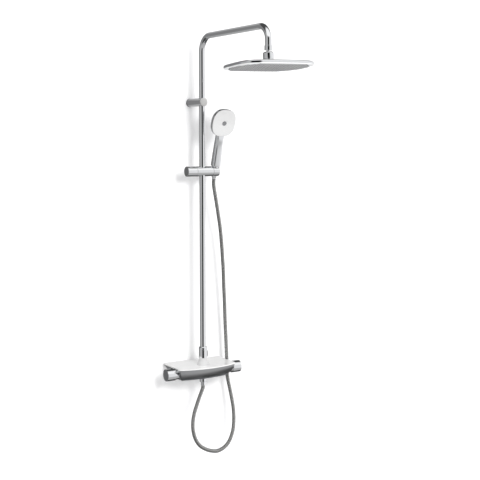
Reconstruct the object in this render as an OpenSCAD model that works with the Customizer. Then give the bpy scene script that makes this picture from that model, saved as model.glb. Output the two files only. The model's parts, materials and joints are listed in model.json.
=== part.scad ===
// Rainfall shower column: a shelf-topped thermostatic mixer, a riser with a sliding
// handset holder, an arm with a rain head on a ball joint, and a metal hose.
// Millimetres. The wall is the plane y = 0 and the room is on the -Y side.
// X = 0 is the riser's plane, and z = 0 is the height of the mixer's axis.

/* [Riser and arm] */
// Outer diameter of the riser and the arm
pipe_d = 22; // [18:1:26]
// Wall thickness of the riser and the arm
pipe_wall = 1.2; // [0.8:0.1:2]
// Distance of the riser's axis from the wall
riser_y = 93; // [85:1:105]
// Height of the arm's horizontal run above the mixer's axis
arm_z = 1226; // [1150:1:1300]
// Distance of the rain head's axis from the wall
arm_reach = 533; // [450:1:600]
// Centre-line radius of the bend above the riser
rear_bend_r = 56; // [45:1:80]
// Centre-line radius of the bend above the rain head
front_bend_r = 50; // [45:1:80]

/* [Wall bracket] */
// Height of the bracket's axis
bracket_z = 992; // [900:1:1100]
// Diameter of the bracket's sleeve
bracket_d = 30; // [28:1:36]
// Distance of the bracket's front face from the wall
bracket_len = 107; // [105:1:120]

/* [Mixer] */
// Diameter of the brass barrel
barrel_d = 39.4; // [38:0.1:40]
// Half the length of the barrel
barrel_half = 118; // [110:1:120]
// Diameter of the two knobs
knob_d = 45; // [43:1:48]
// Distance of a knob's end face from the middle
knob_end_x = 156; // [150:1:162]
// Distance between the two wall inlets
inlet_pitch = 150; // [150:1:150]
// Depth of the shelf at its middle
shelf_depth = 156; // [148:1:162]
// Depth of the shelf at its sides
shelf_side_depth = 132; // [120:1:140]
// Half the width of the shelf
shelf_half = 118; // [110:1:122]
// Height of the shelf's top surface
shelf_z = 24; // [22:1:28]
// Thickness of the shelf's plate
shelf_t = 4; // [3:0.5:6]

/* [Slider and holder] */
// Height of the slider's axis
slider_z = 741; // [300:1:900]
// Diameter of the slider
slider_d = 37; // [34:1:40]
// Half the length of the slider
slider_half = 66; // [60:1:72]
// Middle of the handset holder, measured from the riser
holder_x = 53; // [50:1:56]
// Outward tilt of the handset's handle
handset_tilt = 14.5; // [5:0.5:25]

/* [Handset] */
// Width of the spray plate
plate_w = 94; // [85:1:110]
// Height of the spray plate
plate_h = 100; // [85:1:110]
// Outward tilt of the spray plate
plate_tilt = 20; // [10:1:30]

/* [Rain head] */
// Width of the rain head, side to side
head_w = 284; // [240:1:340]
// Depth of the rain head, front to back
head_l = 208; // [160:1:240]
// Height of the rain head's lower face when the head hangs level
head_z = 1089; // [1084:1:1092]
// Height of the ball joint's centre
ball_z = 1128; // [1126:1:1130]
// Diameter of the ball
ball_d = 22; // [20:1:22]
// Tilt of the rain head about X at rest; below 0 its front edge is raised
head_pitch = -3.7; // [-6:0.1:6]
// Tilt of the rain head about Y at rest
head_roll = -1.3; // [-4:0.1:4]

/* [Hose] */
// Outer diameter of the hose
hose_d = 14; // [12:0.5:16]

/* [Hidden] */

$fn = 72;
pipe_r = pipe_d / 2;
pipe_bore_r = pipe_r - pipe_wall;
barrel_r = barrel_d / 2;
knob_r = knob_d / 2;
slider_r = slider_d / 2;
ball_r = ball_d / 2;
hose_r = hose_d / 2;
cut = 0.1;           // how far a cutting shape runs past a face
run_gap = 0.05;      // radial clearance of a running fit
ring_t = 3;          // width of the ring between the barrel and a knob
knob_x = barrel_half + ring_t + 0.5;
button_x = 131;       // the safety stop button, from the mixer's middle
cap_t = 2.5;         // thickness of a knob's end cap
inlet_x = inlet_pitch / 2;
boss_end_y = 46;     // where an inlet boss ends, measured from the wall
cover_wall = 2.5;
cover_top = shelf_z - shelf_t - 0.2;
cover_bottom = -23;
collar_z = 49;
collar_h = 42;
slider_seam = 28;    // where the clamp knob meets the slider's body
holder_seam = 39.5;  // where the holder meets the slider's body
sleeve_z = 1144;     // lower end of the sleeve on the arm's end
nut_top = 11;        // top of the swivel nut above the ball's centre
nut_low = 12;        // bottom of the swivel nut below the ball's centre
socket_r = ball_r + 2.35;
plate_y = -162.5;    // middle of the spray plate's face
plate_z = 914.5;
plate_rim = 15;      // depth of the rim round the spray plate
plate_back = 24;     // depth of the handset's head behind the spray plate's face
plate_power = 2.6;   // how square the spray plate's outline is; 2 is an ellipse
grip_low = 21;       // lower end of the handle, along its own axis
grip_high = 128;     // upper end of the handle, along its own axis
cone_top = 21;       // upper end of the hose's cone nut, along the handle's axis
cone_low = -24;      // lower end of the cone nut
head_rim = 13;       // height of the rain head's rim
head_power = 3.5;    // how square the rain head's outline is; 2 is an ellipse

// Middle line of the hose, from the handset down, under the mixer and up to its outlet.
HOSE_ROUTE = [
    [53, -85.5, 712], [54, -82, 697], [57, -80, 679], [64, -80, 640], [74, -78, 590],
    [86, -74, 530], [95, -69, 474], [102, -64, 420], [108, -60, 364], [113, -55, 305],
    [118, -52, 240], [122, -49, 172], [127, -47, 94], [130, -47, 26], [131, -49, -38],
    [134, -52, -66], [139, -56, -98], [144, -62, -135], [146, -70, -172],
    [143, -78, -207], [135, -87, -242], [121, -94, -271], [103, -99, -294],
    [79, -103, -308], [52, -106, -313], [24, -108, -307], [-1, -109, -296],
    [-24, -108, -279], [-41, -106, -252], [-49, -104, -220], [-49, -102, -190],
    [-43, -100, -160], [-32, -98, -132], [-19, -95, -104], [-7, -93, -80],
    [-1, -93, -66], [0, -93, -56]
];
HOSE_STEPS = 2;
HOSE_SIDES = 10;

// ---- small helpers ----

// Points its children's +Z along +X, from the mixer's or the slider's axis.
module along_x(x, z = 0) {
    translate([x, -riser_y, z]) rotate([0, 90, 0]) children();
}

// Points its children's +Z into the room, from a point on the wall.
module from_wall(x, z) {
    translate([x, 0, z]) rotate([90, 0, 0]) children();
}

module on_riser() {
    translate([0, -riser_y, 0]) children();
}

module at_ball() {
    translate([0, -arm_reach, ball_z]) children();
}

// The rain head's own frame, at the ball's centre and at the head's rest tilt.
module in_head() {
    at_ball() rotate([head_pitch, head_roll, 0]) children();
}

// The same frame, from the middle of the head's lower face.
module on_head() {
    in_head() translate([0, 0, head_z - ball_z]) children();
}

// The handset's own frame: +Z runs up its handle and -Y is the side that sprays.
module in_handset() {
    translate([holder_x, -riser_y, slider_z]) rotate([handset_tilt, 0, 0]) children();
}

// The spray plate's own frame: its origin is the middle of the face.
module in_plate() {
    translate([holder_x, plate_y, plate_z]) rotate([plate_tilt, 0, 0]) children();
}

module tube(outer_r, inner_r, h) {
    difference() {
        cylinder(r = outer_r, h = h);
        translate([0, 0, -cut]) cylinder(r = inner_r, h = h + 2 * cut);
    }
}

// A soft rectangle: a superellipse with the given half sides.
function soft_rect(a, b, power, count) = [
    for (i = [0 : count - 1])
        let (t = 360 * i / count, c = cos(t), s = sin(t))
        [a * sign(c) * pow(abs(c), 2 / power), b * sign(s) * pow(abs(s), 2 / power)]
];

// The shelf's outline: straight at the wall, bowed in front, with rounded front corners.
module shelf_outline(inset, back) {
    bow = shelf_depth - shelf_side_depth;
    bow_r = (shelf_half * shelf_half + bow * bow) / (2 * bow);
    corner_r = 6;
    offset(delta = -inset)
    intersection() {
        translate([-shelf_half, -200]) square([2 * shelf_half, 200 - back]);
        offset(r = corner_r) offset(delta = -corner_r)
        intersection() {
            translate([0, bow_r - shelf_depth]) circle(r = bow_r, $fn = 160);
            translate([-shelf_half, -200]) square([2 * shelf_half, 230]);
        }
    }
}

// ---- hose sweep ----

function catmull(p, i, t) =
    let (n = len(p) - 1,
         a = i == 0 ? 2 * p[0] - p[1] : p[i - 1],
         b = p[i],
         c = p[i + 1],
         d = i + 2 > n ? 2 * p[n] - p[n - 1] : p[i + 2])
    0.5 * (2 * b + (c - a) * t + (2 * a - 5 * b + 4 * c - d) * t * t
           + (3 * b - a - 3 * c + d) * t * t * t);

function smooth_route(p, steps) = concat(
    [for (i = [0 : len(p) - 2], s = [0 : steps - 1]) catmull(p, i, s / steps)],
    [p[len(p) - 1]]);

function unit(v) = v / norm(v);

function tangent(p, i) = unit(p[min(i + 1, len(p) - 1)] - p[max(i - 1, 0)]);

// One ring round the route; the wall's normal gives every ring the same start.
function ring(p, i, r, sides) =
    let (t = tangent(p, i), u = unit(cross(t, [0, 1, 0])), v = cross(t, u))
    [for (k = [0 : sides - 1]) p[i] + r * (cos(360 * k / sides) * u + sin(360 * k / sides) * v)];

module swept_tube(p, r, sides) {
    rings = len(p);
    last = (rings - 1) * sides;
    points = [for (i = [0 : rings - 1]) each ring(p, i, r, sides)];
    walls = [for (i = [0 : rings - 2], k = [0 : sides - 1])
        let (a = i * sides + k, b = i * sides + (k + 1) % sides)
        [a, b, b + sides, a + sides]];
    ends = [[for (k = [sides - 1 : -1 : 0]) k], [for (k = [0 : sides - 1]) last + k]];
    polyhedron(points, concat(walls, ends), convexity = 10);
}

// ---- inlets and mixer ----

module inlets() {
    for (side = [-1, 1]) from_wall(side * inlet_x, 0) children();
}

module wall_unions() {
    color("silver") inlets() difference() {
        union() {
            translate([0, 0, -14]) cylinder(r = 10.5, h = 22);
            cylinder(r = 14, h = 8, $fn = 6);
            translate([0, 0, 8]) cylinder(r = 9.5, h = 32);
            translate([0, 0, 40]) cylinder(r = 12.4, h = 4);
        }
        translate([0, 0, -14 - cut]) cylinder(r = 7.5, h = 60);
    }
}

module wall_roses() {
    color("silver") inlets() translate([0, 0, 8.2]) difference() {
        cylinder(r1 = 16.8, r2 = 14.5, h = 6);
        translate([0, 0, -cut]) cylinder(r = 9.7, h = 7);
    }
}

module union_nuts() {
    color("silver") inlets() difference() {
        translate([0, 0, 36]) cylinder(r = 17, h = 20, $fn = 6);
        translate([0, 0, 35]) cylinder(r = 9.7, h = 30);
        translate([0, 0, 39.5]) cylinder(r = 13.1, h = 30);
    }
}

module check_valves() {
    color("white") inlets() translate([0, 0, boss_end_y + 2]) tube(8.8, 4.5, 16);
}

module mixer_body() {
    color("goldenrod") difference() {
        union() {
            along_x(-barrel_half) cylinder(r = barrel_r, h = 2 * barrel_half);
            inlets() translate([0, 0, boss_end_y]) cylinder(r = 13, h = 36);
        }
        // The end bores for the two cartridges, and the chamber between them.
        for (side = [0, 1]) mirror([side, 0, 0]) {
            along_x(58) cylinder(r = 15, h = 80);
            along_x(-cut) cylinder(r = 11, h = 70);
        }
        inlets() translate([0, 0, boss_end_y - cut]) cylinder(r = 9, h = 34);
        on_riser() translate([0, 0, 5]) cylinder(r = 9.5, h = 30);
        on_riser() translate([0, 0, -35]) cylinder(r = 10, h = 30);
    }
}

module mixer_cover() {
    color("lightgray") difference() {
        hull() {
            translate([0, 0, cover_top - 5]) linear_extrude(5) shelf_outline(0.8, 1.5);
            translate([0, 0, -6]) linear_extrude(1) cover_slice(112, 60, 142);
            translate([0, 0, cover_bottom]) linear_extrude(1) cover_slice(96, 80, 119);
        }
        hull() {
            translate([0, 0, cover_top - 5 - cover_wall])
                linear_extrude(5) shelf_outline(0.8 + cover_wall, -20);
            translate([0, 0, -6]) linear_extrude(1)
                cover_slice(112 - cover_wall, 20, 142 - cover_wall);
            translate([0, 0, cover_bottom + cover_wall])
                linear_extrude(1) cover_slice(96 - cover_wall, 60, 119 - cover_wall);
        }
        along_x(-130) cylinder(r = barrel_r + 0.3, h = 260);
        on_riser() cylinder(r = 11, h = 60);
        on_riser() translate([0, 0, -60]) cylinder(r = 12, h = 60);
    }
}

// A slice of the cover: half its width, and where it starts and ends off the wall.
module cover_slice(half, back, front) {
    bow = (front - back) * 0.32;
    bow_r = (half * half + bow * bow) / (2 * bow);
    intersection() {
        translate([0, bow_r - front]) circle(r = bow_r, $fn = 120);
        translate([-half, -front - 10]) square([2 * half, front + 10 - back]);
    }
}

module shelf() {
    color("white") translate([0, 0, shelf_z - shelf_t]) difference() {
        linear_extrude(shelf_t) shelf_outline(0, 1);
        on_riser() translate([0, 0, -cut]) cylinder(r = 11, h = shelf_t + 2 * cut);
    }
}

module shelf_pads() {
    color("dimgray") for (x = [-95, -40, 40, 95], y = [-25, -105])
        translate([x, y, cover_top]) cylinder(r = 5, h = 0.2);
}

module temperature_scale_ring() {
    color("silver") mirror([1, 0, 0]) along_x(barrel_half) tube(barrel_r + 0.8, 9, ring_t);
}

module flow_stop_ring() {
    color("silver") along_x(barrel_half) tube(barrel_r + 0.8, 9, ring_t);
}

module thermostat_cartridge() {
    color("tan") mirror([1, 0, 0]) along_x(60) difference() {
        union() {
            cylinder(r = 14.9, h = 40);
            cylinder(r = 8.9, h = barrel_half - 60 + 2);
        }
        translate([0, 0, 30]) cylinder(r = 4 + run_gap, h = 40);
    }
}

module flow_cartridge() {
    color("tan") along_x(60) difference() {
        union() {
            cylinder(r = 14.9, h = 34);
            cylinder(r = 8.9, h = barrel_half - 60 + 2);
        }
        translate([0, 0, 26]) cylinder(r = 4 + run_gap, h = 40);
    }
}

// ---- knobs ----

// The shell of a knob on the +X end: a thin drum with a boss for the spindle.
module knob_shell() {
    h = knob_end_x - knob_x;
    along_x(knob_x) difference() {
        cylinder(r = knob_r, h = h);
        difference() {
            translate([0, 0, -cut]) cylinder(r = knob_r - 2.5, h = h - cap_t - 2.5 + cut);
            translate([0, 0, 6]) cylinder(r = 7, h = h);
        }
        translate([0, 0, h - cap_t]) cylinder(r = knob_r - 2, h = cap_t + cut);
        translate([0, 0, 5]) cylinder(r = 4, h = h - cap_t - 4 - 5);
    }
}

module knob_cap() {
    along_x(knob_end_x - cap_t) cylinder(r = knob_r - 2.1, h = cap_t);
}

module spindle(inner_x) {
    along_x(inner_x) cylinder(r = 4, h = knob_end_x - cap_t - 4 - inner_x);
}

module temperature_knob() {
    color("silver") mirror([1, 0, 0]) difference() {
        knob_shell();
        translate([button_x, -riser_y, 12]) cylinder(r = 4.5 + run_gap, h = 20);
    }
}

module temperature_cap() {
    color("gray") mirror([1, 0, 0]) knob_cap();
}

module temperature_spindle() {
    color("goldenrod") mirror([1, 0, 0]) spindle(92);
}

module button_spring() {
    color("silver") translate([-button_x, -riser_y, 7.2]) tube(3.5, 2.9, 8.6);
}

module safety_button() {
    color("dimgray") translate([-button_x, -riser_y, 16]) {
        cylinder(r = 4.5, h = knob_r - 16 + 1.2);
        cylinder(r = 6, h = 1.6);
    }
}

module flow_knob() {
    color("silver") knob_shell();
}

module flow_cap() {
    color("gray") knob_cap();
}

module flow_spindle() {
    color("goldenrod") spindle(88);
}

// ---- outlet and hose ends ----

module hose_outlet() {
    color("silver") on_riser() difference() {
        translate([0, 0, -37]) cylinder(r = 9.9, h = 27);
        translate([0, 0, -38]) cylinder(r = 6.5, h = 30);
    }
}

module hose_lower_nut() {
    color("silver") on_riser() difference() {
        union() {
            translate([0, 0, -42]) cylinder(r = 13, h = 13);
            translate([0, 0, -44]) cylinder(r = 10, h = 2);
        }
        translate([0, 0, -37]) cylinder(r = 10, h = 10);
        translate([0, 0, -45]) cylinder(r = 5.5, h = 10);
    }
}

module hose_lower_ferrule() {
    color("silver") on_riser() translate([0, 0, -56]) tube(8.2, 5.5, 12);
}

module hose() {
    color("darkgray") swept_tube(smooth_route(HOSE_ROUTE, HOSE_STEPS), hose_r, HOSE_SIDES);
}

module hose_upper_nut() {
    color("silver") in_handset() difference() {
        union() {
            translate([0, 0, cone_low]) cylinder(r1 = 9, r2 = 11.2, h = 38);
            translate([0, 0, 14]) cylinder(r = 11.2, h = cone_top - 14);
        }
        translate([0, 0, cone_low - cut]) cylinder(r = 5.5, h = 50);
        translate([0, 0, 6]) cylinder(r = 9.6, h = 20);
    }
}

module hose_upper_ferrule() {
    color("silver") in_handset() translate([0, 0, cone_low - 5]) tube(8, 5.5, 5);
}

// ---- riser ----

module riser_hub() {
    flare = [for (i = [0 : 8]) let (t = i / 8) [14.5 + 8.5 * pow(1 - t, 2.4), shelf_z + t * 25]];
    color("white") on_riser() rotate_extrude()
        polygon(concat([[9.7, shelf_z]], flare, [[9.7, collar_z]]));
}

module riser_nipple() {
    color("goldenrod") on_riser() difference() {
        translate([0, 0, 8]) cylinder(r = 9.4, h = 77);
        translate([0, 0, 7]) cylinder(r = 6.5, h = 80);
        for (z = [66, 76]) translate([0, 0, z]) tube(11, 7.9, 2.4);
    }
}

module riser_o_rings() {
    color("black") on_riser() for (z = [66, 76]) translate([0, 0, z + 1.2])
        rotate_extrude() translate([8.85, 0]) circle(r = 0.9, $fn = 24);
}

module riser_collar() {
    color("silver") on_riser() difference() {
        union() {
            translate([0, 0, collar_z]) cylinder(r = 15.5, h = collar_h - 3);
            translate([0, 0, collar_z + collar_h - 3]) cylinder(r1 = 15.5, r2 = 13.5, h = 3);
        }
        translate([0, 0, collar_z + 3]) cylinder(r = pipe_r + 0.02, h = 50);
        translate([0, 0, collar_z - cut]) cylinder(r = 9.7, h = 10);
        translate([0, 0, collar_z + 31]) tube(16, 15, 1.2);
    }
}

module collar_lock() {
    color("dimgray") on_riser() difference() {
        hull() for (z = [55, 71]) translate([14.6, 0, z]) sphere(r = 5, $fn = 32);
        cylinder(r = 15.52, h = 100);
    }
}

module riser_tube() {
    color("silver") on_riser() translate([0, 0, collar_z + 3])
        tube(pipe_r, pipe_bore_r, bracket_z - collar_z - 3.2);
}

// ---- wall bracket ----

module bracket_base() {
    color("gray") from_wall(0, bracket_z) difference() {
        union() {
            cylinder(r = bracket_d / 2 + 0.4, h = 3);
            cylinder(r = 12.4, h = 16);
        }
        translate([0, 0, -cut]) cylinder(r = 2.6, h = 20);
        translate([0, 0, 12]) cylinder(r = 5.2, h = 10);
    }
}

module bracket_wall_screw() {
    color("silver") from_wall(0, bracket_z) {
        translate([0, 0, -38]) cylinder(r = 2.5, h = 50);
        translate([0, 0, 12]) cylinder(r = 5, h = 3);
    }
}

module bracket_sleeve() {
    color("silver") difference() {
        from_wall(0, bracket_z) translate([0, 0, 3.2])
            cylinder(r = bracket_d / 2, h = bracket_len - 3 - 3.2);
        from_wall(0, bracket_z) translate([0, 0, 3]) cylinder(r = 12.5, h = 68);
        from_wall(0, bracket_z) translate([0, 0, bracket_len - 5]) cylinder(r = 8, h = 10);
        on_riser() translate([0, 0, bracket_z - 30]) cylinder(r = pipe_r + 0.02, h = 60);
        translate([0, -9, bracket_z - 20]) cylinder(r = 2.5, h = 10);
    }
}

module bracket_grub_screw() {
    color("dimgray") translate([0, -9, bracket_z - 14.8]) difference() {
        cylinder(r = 2.45, h = 2.3);
        translate([0, 0, -cut]) cylinder(r = 1.2, h = 1.5, $fn = 6);
    }
}

module bracket_cap() {
    color("lightgray") from_wall(0, bracket_z) {
        translate([0, 0, bracket_len - 3]) cylinder(r = bracket_d / 2, h = 2);
        translate([0, 0, bracket_len - 1]) cylinder(r1 = bracket_d / 2, r2 = bracket_d / 2 - 1, h = 1);
    }
}

// ---- arm ----

module arm_coupler() {
    color("goldenrod") on_riser() translate([0, 0, bracket_z - 22]) tube(9.7, 7.5, 44);
}

// A quarter turn of a ring whose section is given, in the plane x = 0, rising on the
// wall's side when side is 1 and on the room's side when side is -1.
module quarter_bend(bend_r, side) {
    rotate([90, 0, side > 0 ? 90 : -90]) rotate_extrude(angle = 90) translate([bend_r, 0])
        children();
}

module arm_solid(r) {
    run_start = riser_y + rear_bend_r;
    run_end = arm_reach - front_bend_r;
    on_riser() translate([0, 0, bracket_z]) cylinder(r = r, h = arm_z - rear_bend_r - bracket_z);
    translate([0, -run_start, arm_z - rear_bend_r]) quarter_bend(rear_bend_r, 1) circle(r = r);
    translate([0, -run_start, arm_z]) rotate([90, 0, 0]) cylinder(r = r, h = run_end - run_start);
    translate([0, -run_end, arm_z - front_bend_r]) quarter_bend(front_bend_r, -1) circle(r = r);
    translate([0, -arm_reach, sleeve_z + 6])
        cylinder(r = r, h = arm_z - front_bend_r - sleeve_z - 6);
}

module arm_pipe() {
    color("silver") difference() {
        arm_solid(pipe_r);
        on_riser() translate([0, 0, bracket_z - cut])
            cylinder(r = pipe_bore_r, h = arm_z - rear_bend_r - bracket_z - 2);
        translate([0, -arm_reach, sleeve_z]) cylinder(r = pipe_bore_r, h = 12);
    }
}

module arm_end_sleeve() {
    color("silver") translate([0, -arm_reach, sleeve_z]) difference() {
        cylinder(r = 13, h = 16);
        translate([0, 0, 6]) cylinder(r = pipe_r, h = 20);
        translate([0, 0, -cut]) cylinder(r = 6, h = 10);
    }
}

// ---- ball joint; z = 0 is the ball's centre ----

module ball_stem() {
    color("silver") at_ball() difference() {
        union() {
            sphere(r = ball_r);
            cylinder(r = 6, h = sleeve_z + 5 - ball_z);
        }
        translate([0, 0, -20]) cylinder(r = 3.5, h = 60);
    }
}

// The part of a round shell between two heights.
module shell_zone(outer_r, inner_r, low, high) {
    intersection() {
        difference() {
            sphere(r = outer_r);
            sphere(r = inner_r);
        }
        translate([0, 0, low]) cylinder(r = 20, h = high - low);
    }
}

module friction_ring() {
    color("ivory") at_ball() shell_zone(socket_r - 0.35, ball_r + 0.35, 2.5, 6.8);
}

module ball_seal() {
    color("black") in_head() shell_zone(socket_r - 0.35, ball_r + 0.35, -8, -4.4);
}

module swivel_nut() {
    color("silver") in_head() difference() {
        union() {
            translate([0, 0, -nut_low]) cylinder(r = 18, h = nut_low + nut_top - 3);
            translate([0, 0, nut_top - 3]) cylinder(r1 = 18, r2 = 15, h = 3);
        }
        sphere(r = socket_r);
        translate([0, 0, 8]) cylinder(r1 = 10, r2 = 11.6, h = 3.1);
        translate([0, 0, -nut_low - cut]) cylinder(r = 14.5, h = nut_low - 3);
        translate([0, 0, -nut_low / 2]) cylinder(r = socket_r, h = nut_low / 2);
    }
}

module head_inlet() {
    color("silver") in_head() difference() {
        translate([0, 0, -22]) cylinder(r = 14.4, h = 18.8);
        sphere(r = socket_r - 0.2);
        translate([0, 0, -23]) cylinder(r = 6, h = 20);
    }
}

// ---- rain head ----

module head_outline(inset) {
    polygon(soft_rect(head_w / 2 - inset, head_l / 2 - inset, head_power, 96));
}

module head_shell() {
    wall = 2.2;
    inlet_seat = ball_z - head_z - 22;
    color("silver") on_head() difference() {
        hull() {
            translate([0, 0, 2]) linear_extrude(head_rim - 4) head_outline(0);
            translate([0, 0, head_rim - 1]) linear_extrude(1) head_outline(8);
            translate([0, 0, head_rim + 7.5]) cylinder(r = 22, h = 0.5, $fn = 32);
        }
        hull() {
            translate([0, 0, 1]) linear_extrude(head_rim - 4) head_outline(2.6);
            translate([0, 0, head_rim - 1 - wall]) linear_extrude(1) head_outline(10);
            translate([0, 0, inlet_seat - wall - 0.5]) cylinder(r = 20, h = 0.5, $fn = 32);
        }
        cylinder(r = 6, h = 30);
        translate([0, 0, inlet_seat]) cylinder(r = 14.4, h = 30);
    }
}

module head_face() {
    color("gainsboro") on_head() difference() {
        union() {
            linear_extrude(2) head_outline(0);
            translate([0, 0, 2]) linear_extrude(1.5) head_outline(2.6);
        }
        head_grid() cylinder(r = 2.1, h = 10, center = true, $fn = 16);
    }
}

// The places of the spray nozzles: rows that follow the head's soft outline.
module head_grid() {
    pitch_x = 14.5;
    pitch_y = 14.5;
    for (i = [-9 : 9], j = [-6 : 6]) {
        x = i * pitch_x;
        y = j * pitch_y;
        if (pow(abs(x) / (head_w / 2 - 9), head_power)
            + pow(abs(y) / (head_l / 2 - 9), head_power) < 1)
            translate([x, y, 0]) children();
    }
}

module head_nozzles() {
    color("dimgray") on_head() {
        translate([0, 0, 3.6]) linear_extrude(1) head_outline(6);
        head_grid() translate([0, 0, -2.4]) cylinder(r1 = 1.2, r2 = 2, h = 6.1, $fn = 16);
    }
}

// ---- slider ----

module slider_body() {
    color("silver") difference() {
        along_x(-slider_seam, slider_z) cylinder(r = slider_r, h = slider_seam + holder_seam);
        on_riser() translate([0, 0, slider_z - 30]) cylinder(r = 13, h = 60);
        along_x(-slider_seam - cut, slider_z) cylinder(r = 4 + run_gap, h = 30);
        along_x(20, slider_z) cylinder(r = 7 + run_gap, h = 30);
        for (x = [-slider_seam, holder_seam - 1])
            along_x(x, slider_z) tube(slider_r + 1, slider_r - 0.6, 1);
    }
}

module slider_liner() {
    color("dimgray") on_riser() translate([0, 0, slider_z - 12])
        tube(12.95, pipe_r + run_gap, 24);
}

module slider_knob() {
    h = slider_half - slider_seam - 0.4;
    color("silver") along_x(-slider_half, slider_z) difference() {
        cylinder(r = slider_r, h = h);
        translate([0, 0, -cut]) cylinder(r = slider_r - 1.4, h = 2 + cut);
        translate([0, 0, 16]) cylinder(r = 4, h = h);
        for (turn = [150 : 15 : 210]) rotate([0, 0, turn])
            translate([slider_r + 0.6, 0, 8]) cylinder(r = 1.4, h = 14, $fn = 16);
    }
}

module slider_knob_cap() {
    color("gray") along_x(-slider_half, slider_z) cylinder(r = slider_r - 1.5, h = 2);
}

module slider_clamp_screw() {
    color("silver") along_x(-slider_half + 16, slider_z) cylinder(r = 4, h = slider_half - 16 - 13.4);
}

module holder() {
    wide = 60;
    color("silver") difference() {
        union() {
            along_x(holder_seam + 0.4, slider_z)
                cylinder(r = slider_r, h = slider_half - holder_seam - 0.4);
            along_x(21, slider_z) cylinder(r = 7, h = 20);
        }
        in_handset() translate([0, 0, cone_low]) cylinder(r1 = 9.3, r2 = 11.5, h = 38);
        in_handset() translate([0, 0, cone_low + 38 - cut]) cylinder(r = 11.5, h = wide);
        in_handset() translate([0, 0, cone_low - wide + cut]) cylinder(r = 9.3, h = wide);
        in_handset() translate([0, -7.6, -wide / 2]) cube([wide, 15.2, wide]);
    }
}

// ---- handset ----

// A rounded slab of the handle, at a height along its axis.
module grip_slab(z, w, d, y = 0) {
    translate([0, y, z]) linear_extrude(2) polygon(soft_rect(w / 2, d / 2, 2.8, 24));
}

// The spray plate's back, from its rim to the dome behind it.
module plate_slab(y, inset) {
    in_plate() translate([0, y, 0]) rotate([90, 0, 0])
        linear_extrude(2) polygon(soft_rect(plate_w / 2 - inset, plate_h / 2 - inset, plate_power, 44));
}

// The handset's outer shape, drawn in by a wall; front is how far it runs out past the rim.
module handset_solid(wall, front = 0) {
    in_plate() translate([0, plate_rim - wall, 0]) rotate([90, 0, 0])
        linear_extrude(plate_rim - 2 - wall + front)
        polygon(soft_rect(plate_w / 2 - wall, plate_h / 2 - wall, plate_power, 44));
    hull() {
        plate_slab(plate_rim - 0.5 - wall, 0.3 + wall);
        plate_slab(plate_back - wall, 12 + wall);
    }
    hull() {
        plate_slab(plate_back - 2 - wall, 29 + wall);
        in_handset() grip_slab(97, 28.2 - 2 * wall, 25.2 - 2 * wall);
        in_handset() grip_slab(grip_high + 11 - wall, 27 - 2 * wall, 20 - 2 * wall, -3);
    }
    hull() {
        in_handset() grip_slab(grip_low + wall, 34 - 2 * wall, 29 - 2 * wall);
        in_handset() grip_slab(101 + wall / 3, 29 - 2 * wall, 26 - 2 * wall);
    }
}

module handset_shell() {
    color("silver") difference() {
        handset_solid(0);
        handset_solid(2.2, cut);
        in_handset() translate([0, 0, grip_low - cut]) cylinder(r = 9.6, h = 14);
    }
}

module handset_face() {
    color("white") in_plate() difference() {
        rotate([90, 0, 0]) translate([0, 0, -2]) linear_extrude(2)
            polygon(soft_rect(plate_w / 2 - 0.5, plate_h / 2 - 0.5, plate_power, 64));
        rotate([90, 0, 0]) plate_grid() cylinder(r = 1, h = 20, center = true, $fn = 16);
        rotate([90, 0, 0]) cylinder(r = 9, h = 20, center = true);
    }
}

// The places of the handset's nozzles: three rings.
module plate_grid() {
    for (ring = [1 : 3], k = [0 : 8 * ring - 1])
        rotate([0, 0, 360 * k / (8 * ring)]) translate([6 + 11 * ring, 0, 0]) children();
}

module handset_nozzles() {
    color("dimgray") in_plate() rotate([90, 0, 0]) {
        translate([0, 0, -3.4]) cylinder(r = 44, h = 1.3);
        plate_grid() translate([0, 0, -2.2]) cylinder(r1 = 0.9, r2 = 0.7, h = 2.9, $fn = 16);
    }
}

module handset_badge() {
    color("silver") in_plate() rotate([90, 0, 0]) translate([0, 0, -2]) {
        cylinder(r = 8.8, h = 2);
        translate([0, 0, 2]) cylinder(r1 = 8.8, r2 = 7.8, h = 0.8);
    }
}

module handset_inlet() {
    color("goldenrod") in_handset() difference() {
        translate([0, 0, 8]) cylinder(r = 9.5, h = 26);
        translate([0, 0, 7]) cylinder(r = 5.5, h = 30);
    }
}

wall_unions();
wall_roses();
union_nuts();
check_valves();
mixer_body();
mixer_cover();
shelf();
shelf_pads();
riser_hub();
riser_nipple();
riser_o_rings();
riser_collar();
collar_lock();
riser_tube();
thermostat_cartridge();
flow_cartridge();
temperature_scale_ring();
flow_stop_ring();
hose_outlet();
hose_lower_nut();
hose_lower_ferrule();
hose();
bracket_base();
bracket_wall_screw();
bracket_sleeve();
bracket_grub_screw();
bracket_cap();
arm_coupler();
arm_pipe();
arm_end_sleeve();
ball_stem();
temperature_knob();
temperature_cap();
temperature_spindle();
button_spring();
safety_button();
flow_knob();
flow_cap();
flow_spindle();
slider_body();
slider_liner();
slider_knob();
slider_knob_cap();
slider_clamp_screw();
holder();
handset_shell();
handset_face();
handset_nozzles();
handset_badge();
handset_inlet();
hose_upper_nut();
hose_upper_ferrule();
friction_ring();
ball_seal();
swivel_nut();
head_inlet();
head_shell();
head_face();
head_nozzles();
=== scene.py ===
import json
import math
import bpy
from mathutils import Matrix, Vector


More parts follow.
